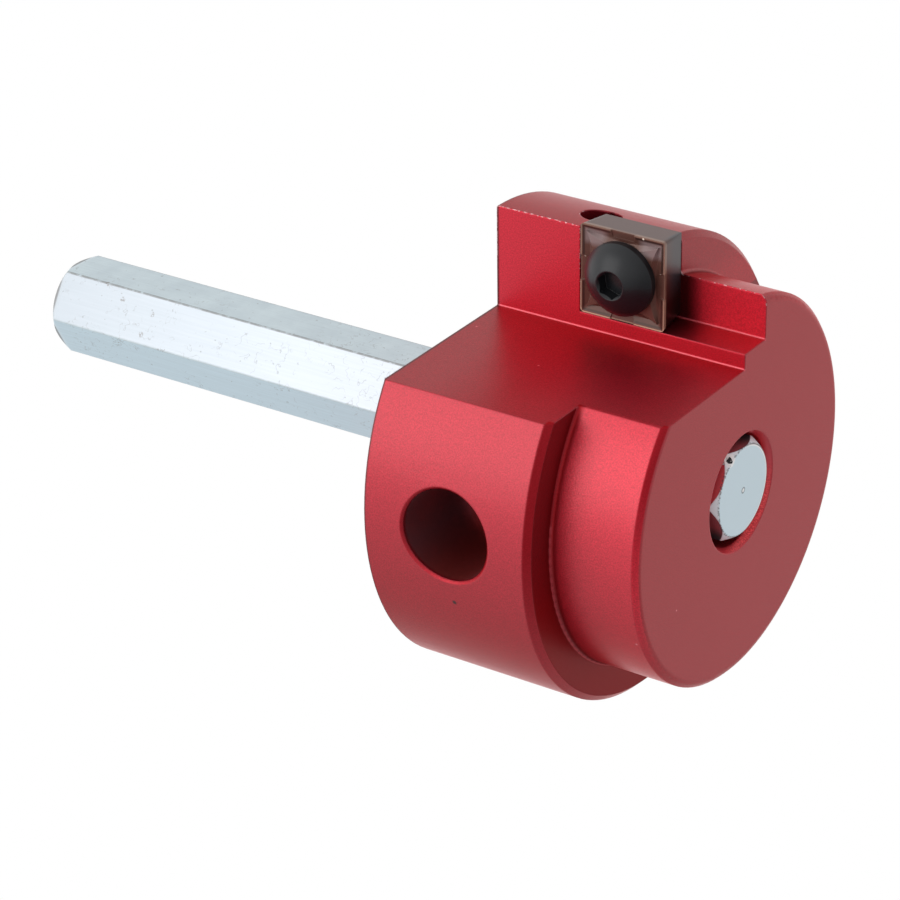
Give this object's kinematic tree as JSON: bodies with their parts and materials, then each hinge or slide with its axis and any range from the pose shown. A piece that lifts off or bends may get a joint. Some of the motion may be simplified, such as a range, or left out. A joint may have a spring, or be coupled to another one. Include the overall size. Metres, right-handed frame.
{
  "type": "pipe fitting reamer",
  "caption": "Stepped aluminium reamer head with a milled notch, a square carbide insert under a button head screw, and a hexagonal steel shank.",
  "frame": {"origin": "centre of the nose face, which the tool stands on", "axes": "+Z along the tool's axis, from the nose face to the shank's far end; the insert's notch opens towards -Y and -X; +X completes the right-handed frame"},
  "size_m": [0.048, 0.0485, 0.083],
  "materials": {
    "red_anodised_aluminium": "bead blasted and anodised red, satin",
    "zinc_plated_steel": "bright zinc plate on drawn bar",
    "coated_carbide": "bronze brown coating on sintered tungsten carbide, satin",
    "black_oxide_steel": "black oxide, satin"
  },
  "bodies": {
    "root": {"cutter_body": "red_anodised_aluminium", "hex_shank": "zinc_plated_steel", "cutting_insert": "coated_carbide", "insert_screw": "black_oxide_steel", "shank_set_screw": "black_oxide_steel"}
  },
  "joints": []
}
